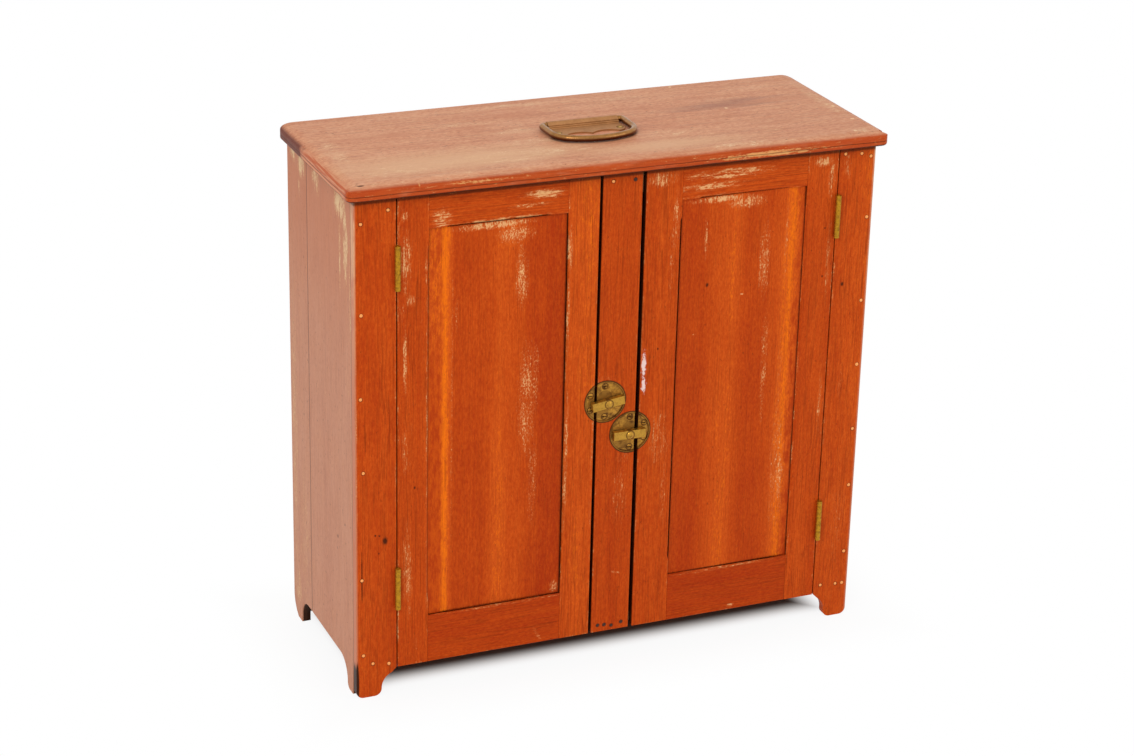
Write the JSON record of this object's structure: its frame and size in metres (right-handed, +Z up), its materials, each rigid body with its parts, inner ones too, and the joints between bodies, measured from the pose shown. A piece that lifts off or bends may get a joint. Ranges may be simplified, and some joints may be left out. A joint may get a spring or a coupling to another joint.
{
  "type": "jelly cupboard",
  "caption": "Small cupboard with framed doors on butt hinges, brass turn-bar latches, shaped feet, an overhanging moulded top and a lifting bail handle.",
  "frame": {"origin": "on the floor, under the middle of the top board", "axes": "+X along the front to the viewer's right, +Y from the doors to the back, +Z up"},
  "size_m": [0.627, 0.241, 0.6049],
  "materials": {
    "front_wood": "worn orange-red stained pine, satin",
    "panel_wood": "worn orange-red stained pine, satin",
    "top_wood": "rubbed pinkish brown pine, satin",
    "side_wood": "rubbed pinkish brown pine, satin",
    "inner_wood": "bare aged pine",
    "latch_brass": "dull aged brass",
    "bar_brass": "handled brass",
    "hinge_brass": "dull aged brass",
    "handle_brass": "dark antique brass",
    "screw": "dull aged brass",
    "nail": "coppery nail head"
  },
  "bodies": {
    "carcass": {"bottom_board": "inner_wood", "centre_stile": "front_wood", "handle_plate": "handle_brass", "handle_screws": "screw", "header_rail": "inner_wood", "latch_plate_screws": "screw", "left_back_board": "inner_wood", "left_latch_plate": "latch_brass", "left_lower_hinge_frame_leaf": "hinge_brass", "left_lower_hinge_pin": "hinge_brass", "left_side_back_board": "side_wood", "left_side_front_board": "side_wood", "left_stile": "front_wood", "left_turn_bar_pivot": "bar_brass", "left_upper_hinge_frame_leaf": "hinge_brass", "left_upper_hinge_pin": "hinge_brass", "lower_shelf": "inner_wood", "middle_left_back_board": "inner_wood", "middle_right_back_board": "inner_wood", "right_back_board": "inner_wood", "right_latch_plate": "latch_brass", "right_lower_hinge_frame_leaf": "hinge_brass", "right_lower_hinge_pin": "hinge_brass", "right_side_back_board": "side_wood", "right_side_front_board": "side_wood", "right_stile": "front_wood", "right_turn_bar_pivot": "bar_brass", "right_upper_hinge_frame_leaf": "hinge_brass", "right_upper_hinge_pin": "hinge_brass", "shelf_cleats": "inner_wood", "top_board": "top_wood", "upper_shelf": "inner_wood"},
    "left_door": {"left_door_bottom_rail": "front_wood", "left_door_hinge_stile": "front_wood", "left_door_lock_stile": "front_wood", "left_door_panel": "panel_wood", "left_door_top_rail": "front_wood", "left_latch_strike": "latch_brass", "left_lower_hinge_door_leaf": "hinge_brass", "left_strike_screws": "screw", "left_upper_hinge_door_leaf": "hinge_brass"},
    "right_door": {"right_door_bottom_rail": "front_wood", "right_door_hinge_stile": "front_wood", "right_door_lock_stile": "front_wood", "right_door_panel": "panel_wood", "right_door_top_rail": "front_wood", "right_latch_strike": "latch_brass", "right_lower_hinge_door_leaf": "hinge_brass", "right_strike_screws": "screw", "right_upper_hinge_door_leaf": "hinge_brass"},
    "left_turn_bar": {"left_turn_bar": "bar_brass"},
    "right_turn_bar": {"right_turn_bar": "bar_brass"},
    "handle_bail": {"handle_bail": "handle_brass"}
  },
  "joints": [
    {"name": "left_door_hinge", "type": "hinge", "parent": "carcass", "child": "left_door", "pos_m": [-0.2563, -0.1108, 0.3024], "axis": [0, 0, -1], "range_deg": [0, 170]},
    {"name": "right_door_hinge", "type": "hinge", "parent": "carcass", "child": "right_door", "pos_m": [0.2591, -0.1108, 0.3024], "axis": [0, 0, 1], "range_deg": [0, 170]},
    {"name": "left_bar_pivot", "type": "hinge", "parent": "carcass", "child": "left_turn_bar", "pos_m": [-0.0122, -0.1112, 0.3146], "axis": [0, -1, 0], "range_deg": [-98.2, 81.8]},
    {"name": "right_bar_pivot", "type": "hinge", "parent": "carcass", "child": "right_turn_bar", "pos_m": [0.0145, -0.1112, 0.274], "axis": [0, -1, 0], "range_deg": [-90, 90]},
    {"name": "bail_pivot", "type": "hinge", "parent": "carcass", "child": "handle_bail", "pos_m": [-0.0013, 0.0079, 0.6007], "axis": [-1, 0, 0], "range_deg": [0, 180]}
  ]
}
